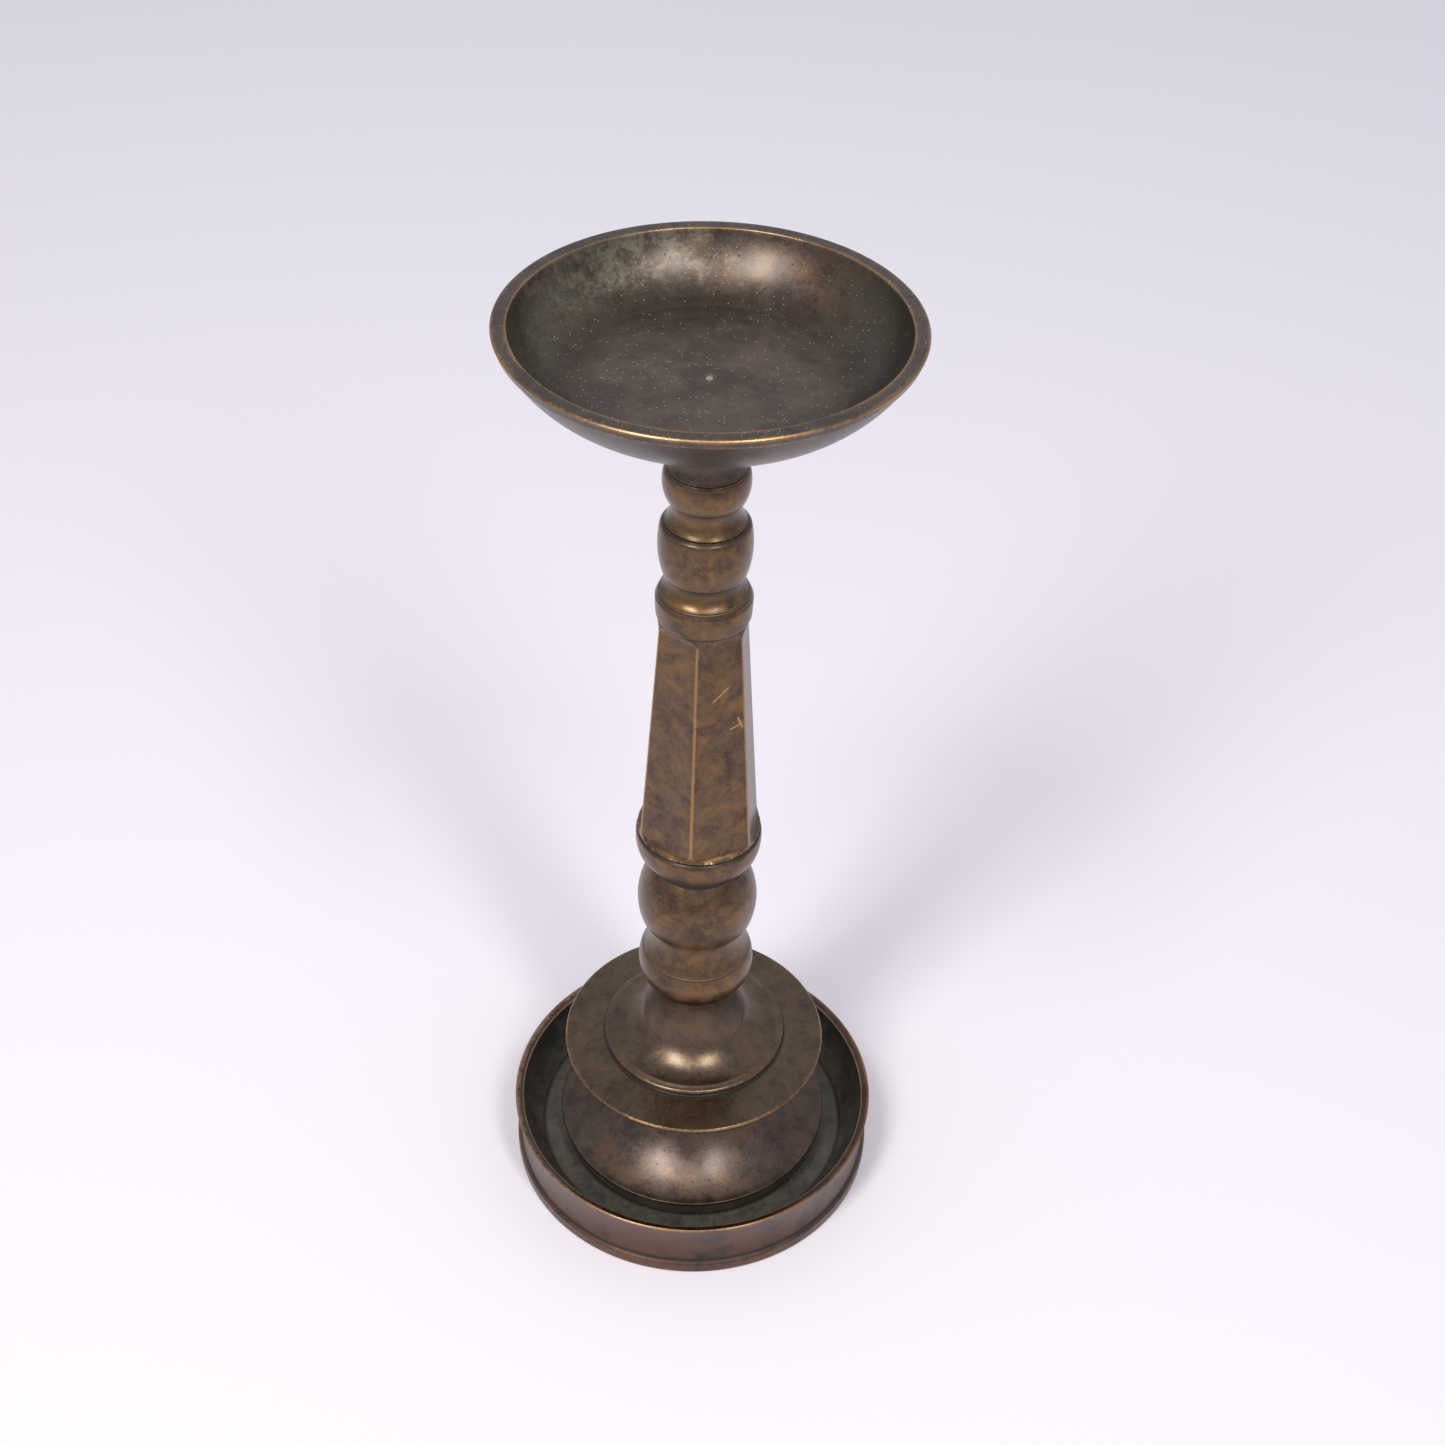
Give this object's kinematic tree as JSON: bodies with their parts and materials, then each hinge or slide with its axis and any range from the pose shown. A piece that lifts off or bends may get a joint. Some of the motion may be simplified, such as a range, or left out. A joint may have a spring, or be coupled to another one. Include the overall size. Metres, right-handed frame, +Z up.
{
  "type": "pillar candle stand",
  "caption": "Free-standing pillar candle stand: a shallow round dish on a turned stem with a faceted tapering shaft, over a bell-shaped foot in a drip tray.",
  "frame": {"origin": "centre of the foot ring, on the ground", "axes": "+Z up the stem's axis, -Y towards the front, +X to the right seen from the front"},
  "size_m": [0.1166, 0.1166, 0.3052],
  "materials": {
    "dish_brass": "dark aged patina, satin, worn bright along the rim, faint turning lines",
    "stem_brass": "brown aged patina rubbed golden on its swells and corners, dark in its grooves",
    "base_brass": "dark brown aged patina, satin, copper-coloured worn edges",
    "rod_steel": "plain threaded steel, dull",
    "zinc_steel": "zinc plated, satin"
  },
  "bodies": {
    "stand": {"base_tray": "base_brass", "base_drum": "base_brass", "bell_dome": "base_brass", "lower_bead": "stem_brass", "ball_knop": "stem_brass", "shaft_ring": "stem_brass", "hex_shaft": "stem_brass", "barrel_bead": "stem_brass", "top_bead": "stem_brass", "tie_rod": "rod_steel", "base_washer": "zinc_steel", "base_nut": "zinc_steel"},
    "dish": {"candle_dish": "dish_brass"}
  },
  "joints": [
    {"name": "dish_lift", "type": "slide", "parent": "stand", "child": "dish", "axis": [0, 0, 1], "range_m": [0, 0.03]}
  ]
}
